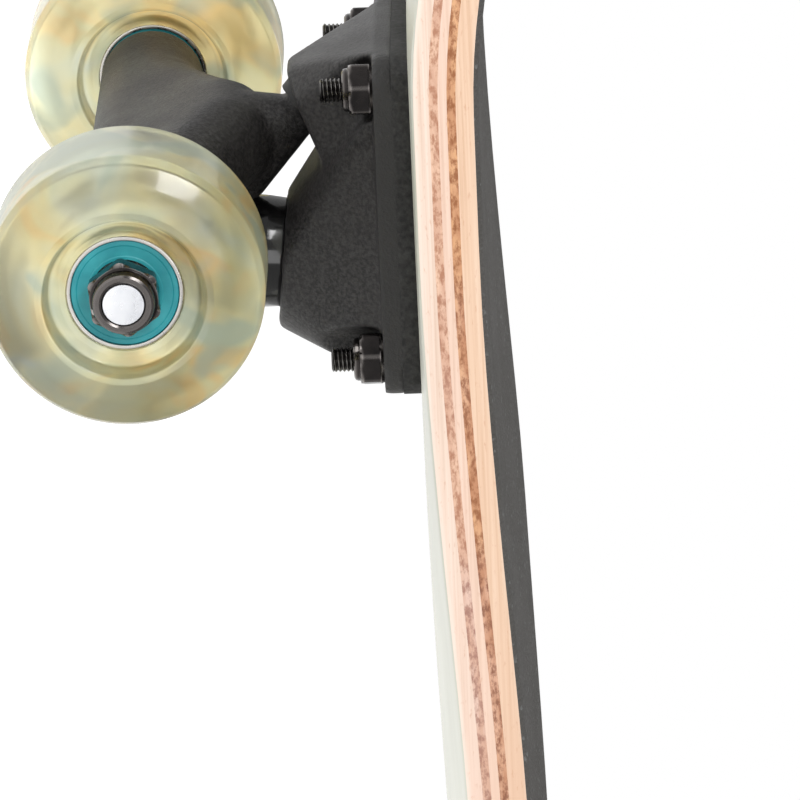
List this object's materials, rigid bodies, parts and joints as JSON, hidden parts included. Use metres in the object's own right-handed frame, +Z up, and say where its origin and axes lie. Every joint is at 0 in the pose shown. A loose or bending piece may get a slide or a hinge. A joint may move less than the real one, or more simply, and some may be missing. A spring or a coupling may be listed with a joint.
{
  "type": "skateboard",
  "caption": "Complete double-kick skateboard: pressed maple deck with grip tape, sprung steering trucks on riser pads and translucent urethane wheels on ball bearings.",
  "frame": {"origin": "on the ground, below the middle of the deck, with the board standing on its wheels", "axes": "+Z up, +X along the deck towards the front truck, +Y to the left across the deck"},
  "size_m": [0.787, 0.2, 0.1327],
  "materials": {
    "maple_pale": "satin",
    "maple_dark": "satin",
    "paint_pale": "satin",
    "grip_black": "rough",
    "riser_black": "matt",
    "cast_black": "powder coated",
    "cup_rubber": "matt",
    "bushing_black": "gloss",
    "steel_zinc": "satin",
    "steel_bright": "polished",
    "race_steel": "ground",
    "bolt_black": "black oxide",
    "nut_black": "black oxide",
    "shield_teal": "satin",
    "urethane_amber": "translucent gloss"
  },
  "bodies": {
    "root": {"deck_ply_1": "paint_pale", "deck_ply_2": "maple_pale", "deck_ply_3": "maple_dark", "deck_ply_4": "maple_pale", "deck_ply_5": "maple_dark", "deck_ply_6": "maple_pale", "deck_ply_7": "maple_pale", "grip_tape": "grip_black", "front_riser_pad": "riser_black", "front_baseplate": "cast_black", "front_pivot_cup": "cup_rubber", "front_kingpin": "steel_zinc", "front_kingpin_nut": "steel_zinc", "front_bushing_board": "bushing_black", "front_bushing_road": "bushing_black", "front_washer_road": "steel_zinc", "front_deck_bolts": "bolt_black", "front_deck_nuts": "nut_black", "rear_riser_pad": "riser_black", "rear_baseplate": "cast_black", "rear_pivot_cup": "cup_rubber", "rear_kingpin": "steel_zinc", "rear_kingpin_nut": "steel_zinc", "rear_bushing_board": "bushing_black", "rear_bushing_road": "bushing_black", "rear_washer_road": "steel_zinc", "rear_deck_bolts": "bolt_black", "rear_deck_nuts": "nut_black"},
    "front_hanger_assembly": {"front_hanger": "cast_black", "front_axle": "steel_bright", "front_axle_nuts": "nut_black", "front_speed_washers": "steel_zinc", "front_inner_races": "race_steel", "front_spacers": "steel_zinc"},
    "front_left_wheel": {"front_left_tyre": "urethane_amber", "front_left_outer_races": "race_steel", "front_left_shields": "shield_teal"},
    "front_left_ball_set": {"front_left_ball_cages": "steel_bright"},
    "front_right_wheel": {"front_right_tyre": "urethane_amber", "front_right_outer_races": "race_steel", "front_right_shields": "shield_teal"},
    "front_right_ball_set": {"front_right_ball_cages": "steel_bright"},
    "rear_hanger_assembly": {"rear_hanger": "cast_black", "rear_axle": "steel_bright", "rear_axle_nuts": "nut_black", "rear_speed_washers": "steel_zinc", "rear_inner_races": "race_steel", "rear_spacers": "steel_zinc"},
    "rear_left_wheel": {"rear_left_tyre": "urethane_amber", "rear_left_outer_races": "race_steel", "rear_left_shields": "shield_teal"},
    "rear_left_ball_set": {"rear_left_ball_cages": "steel_bright"},
    "rear_right_wheel": {"rear_right_tyre": "urethane_amber", "rear_right_outer_races": "race_steel", "rear_right_shields": "shield_teal"},
    "rear_right_ball_set": {"rear_right_ball_cages": "steel_bright"}
  },
  "joints": [
    {"name": "front_steer", "type": "hinge", "parent": "root", "child": "front_hanger_assembly", "pos_m": [0.19564, 0, 0.03458], "axis": [0.7672, 0, 0.6414], "range_deg": [-12, 12], "stiffness_Nm_per_rad": 60, "deforming": ["front_bushing_board", "front_bushing_road"]},
    {"name": "front_left_spin", "type": "hinge", "parent": "front_hanger_assembly", "child": "front_left_wheel", "pos_m": [0.21289, 0.0763, 0.026], "axis": [0, 1, 0], "continuous": true},
    {"name": "front_left_ball_roll", "type": "hinge", "parent": "front_hanger_assembly", "child": "front_left_ball_set", "pos_m": [0.21289, 0.0763, 0.026], "axis": [0, 1, 0], "continuous": true},
    {"name": "front_right_spin", "type": "hinge", "parent": "front_hanger_assembly", "child": "front_right_wheel", "pos_m": [0.21289, -0.0763, 0.026], "axis": [0, 1, 0], "continuous": true},
    {"name": "front_right_ball_roll", "type": "hinge", "parent": "front_hanger_assembly", "child": "front_right_ball_set", "pos_m": [0.21289, -0.0763, 0.026], "axis": [0, 1, 0], "continuous": true},
    {"name": "rear_steer", "type": "hinge", "parent": "root", "child": "rear_hanger_assembly", "pos_m": [-0.19564, 0, 0.03458], "axis": [-0.7672, 0, 0.6414], "range_deg": [-12, 12], "stiffness_Nm_per_rad": 60, "deforming": ["rear_bushing_board", "rear_bushing_road"]},
    {"name": "rear_left_spin", "type": "hinge", "parent": "rear_hanger_assembly", "child": "rear_left_wheel", "pos_m": [-0.21289, 0.0763, 0.026], "axis": [0, 1, 0], "continuous": true},
    {"name": "rear_left_ball_roll", "type": "hinge", "parent": "rear_hanger_assembly", "child": "rear_left_ball_set", "pos_m": [-0.21289, 0.0763, 0.026], "axis": [0, 1, 0], "continuous": true},
    {"name": "rear_right_spin", "type": "hinge", "parent": "rear_hanger_assembly", "child": "rear_right_wheel", "pos_m": [-0.21289, -0.0763, 0.026], "axis": [0, 1, 0], "continuous": true},
    {"name": "rear_right_ball_roll", "type": "hinge", "parent": "rear_hanger_assembly", "child": "rear_right_ball_set", "pos_m": [-0.21289, -0.0763, 0.026], "axis": [0, 1, 0], "continuous": true}
  ],
  "couplings": [
    {"joint": "front_left_ball_roll", "follows": "front_left_spin", "ratio": 0.63233},
    {"joint": "front_right_ball_roll", "follows": "front_right_spin", "ratio": 0.63233},
    {"joint": "rear_left_ball_roll", "follows": "rear_left_spin", "ratio": 0.63233},
    {"joint": "rear_right_ball_roll", "follows": "rear_right_spin", "ratio": 0.63233}
  ]
}
